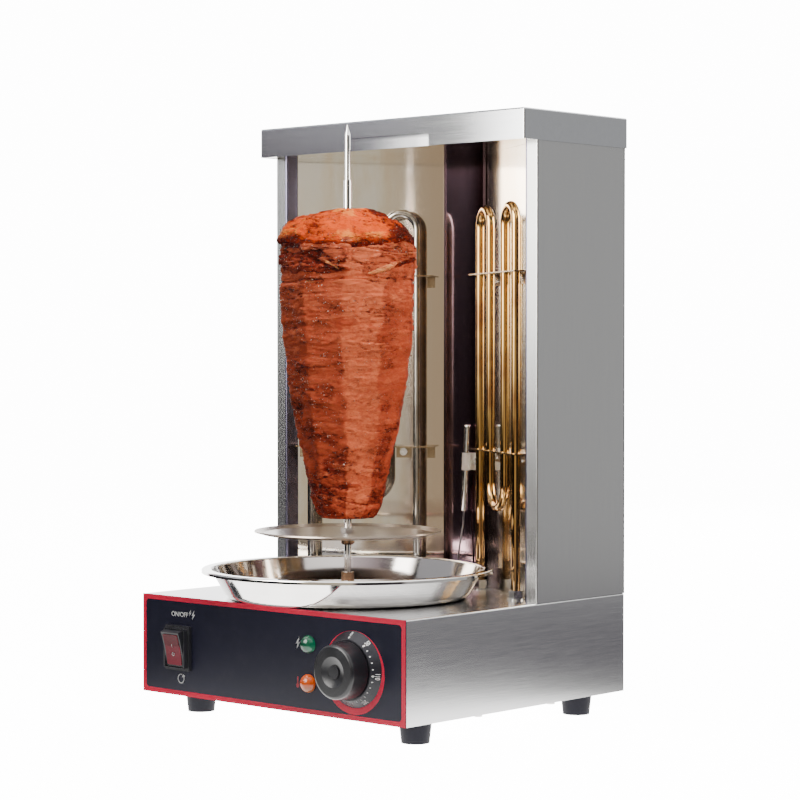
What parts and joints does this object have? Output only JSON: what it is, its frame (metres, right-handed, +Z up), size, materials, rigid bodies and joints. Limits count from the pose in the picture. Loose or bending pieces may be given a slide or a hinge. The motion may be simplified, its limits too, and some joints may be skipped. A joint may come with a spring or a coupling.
{
  "type": "vertical rotisserie oven",
  "caption": "Table-top vertical rotisserie oven: a motor turns a loaded spit before slanting reflectors and tube elements, over a lift-out drip pan.",
  "frame": {"origin": "on the surface the feet stand on, straight below the spit's axis", "axes": "+Z up along the spit, +X to the right of someone facing the control panel, -Y towards them"},
  "size_m": [0.3126, 0.325, 0.514],
  "materials": {
    "casing_steel": "brushed stainless sheet",
    "reflector_steel": "bright annealed stainless, warmed by heat",
    "panel_black": "satin black print with a red border",
    "foot_rubber": "matt moulded rubber",
    "fastener_steel": "bright plated steel",
    "element_steel": "drawn tube, straw coloured by heat",
    "sensor_steel": "plated copper and steel",
    "polished_steel": "mirror polished stainless",
    "bush_brass": "turned brass",
    "motor_metal": "zinc plated steel",
    "roast_meat": "roasted, layered, glossy with fat",
    "switch_black": "matt moulded plastic",
    "rocker_red": "glossy translucent red",
    "lens_green": "glossy translucent green",
    "lens_orange": "glossy translucent orange",
    "knob_black": "satin moulded plastic",
    "inner_plastic": "moulded plastic",
    "gland_black": "matt nylon"
  },
  "bodies": {
    "housing": {"base_shell": "casing_steel", "bottom_plate": "casing_steel", "side_panel_left": "casing_steel", "side_panel_right": "casing_steel", "rear_panel": "casing_steel", "top_cover": "casing_steel", "reflector_left": "reflector_steel", "reflector_right": "reflector_steel", "reflector_back": "reflector_steel", "ceiling_plate": "reflector_steel", "front_panel": "panel_black", "foot_front_left": "foot_rubber", "foot_front_right": "foot_rubber", "foot_rear_left": "foot_rubber", "foot_rear_right": "foot_rubber", "foot_screws": "fastener_steel", "bottom_screws": "fastener_steel", "rear_panel_screws": "fastener_steel", "cover_screws": "fastener_steel", "element_washers": "fastener_steel", "element_nuts": "fastener_steel", "spacer_screws": "fastener_steel", "sensor_screw": "fastener_steel", "motor_fixings": "fastener_steel", "heating_element_left": "element_steel", "heating_element_right": "element_steel", "element_spacers_left": "element_steel", "element_spacers_right": "element_steel", "sensor_bulb": "sensor_steel", "sensor_clip": "sensor_steel", "capillary_tube": "sensor_steel", "shaft_bush": "bush_brass", "gear_motor": "motor_metal", "switch_frame": "switch_black", "switch_body": "switch_black", "power_lamp": "lens_green", "heat_lamp": "lens_orange", "dial": "knob_black", "lamp_holders": "inner_plastic", "thermostat_body": "inner_plastic", "terminal_block": "inner_plastic", "cord_gland": "gland_black", "gland_nut": "gland_black"},
    "drive": {"drive_hub": "polished_steel"},
    "spit": {"skewer": "polished_steel", "spit_disc": "polished_steel", "disc_hub": "polished_steel", "disc_nut": "polished_steel", "meat_stack": "roast_meat"},
    "pan": {"drip_pan": "polished_steel"},
    "rocker": {"rocker_body": "switch_black", "rocker_face": "rocker_red"},
    "knob": {"temperature_knob": "knob_black", "thermostat_shaft": "polished_steel"}
  },
  "joints": [
    {"name": "drive_spin", "type": "hinge", "parent": "housing", "child": "drive", "pos_m": [0, 0, 0.1], "axis": [0, 0, 1], "continuous": true},
    {"name": "spit_lift", "type": "slide", "parent": "drive", "child": "spit", "axis": [0, 0, 1], "range_m": [0, 0.045]},
    {"name": "pan_lift", "type": "slide", "parent": "housing", "child": "pan", "axis": [0, 0, 1], "range_m": [0, 0.03]},
    {"name": "rocker_press", "type": "hinge", "parent": "housing", "child": "rocker", "pos_m": [-0.1083, -0.0996, 0.0573], "axis": [-1, 0, 0], "range_deg": [0, 26]},
    {"name": "knob_turn", "type": "hinge", "parent": "housing", "child": "knob", "pos_m": [0.0987, -0.106, 0.0573], "axis": [0, 1, 0], "range_deg": [0, 270]}
  ]
}
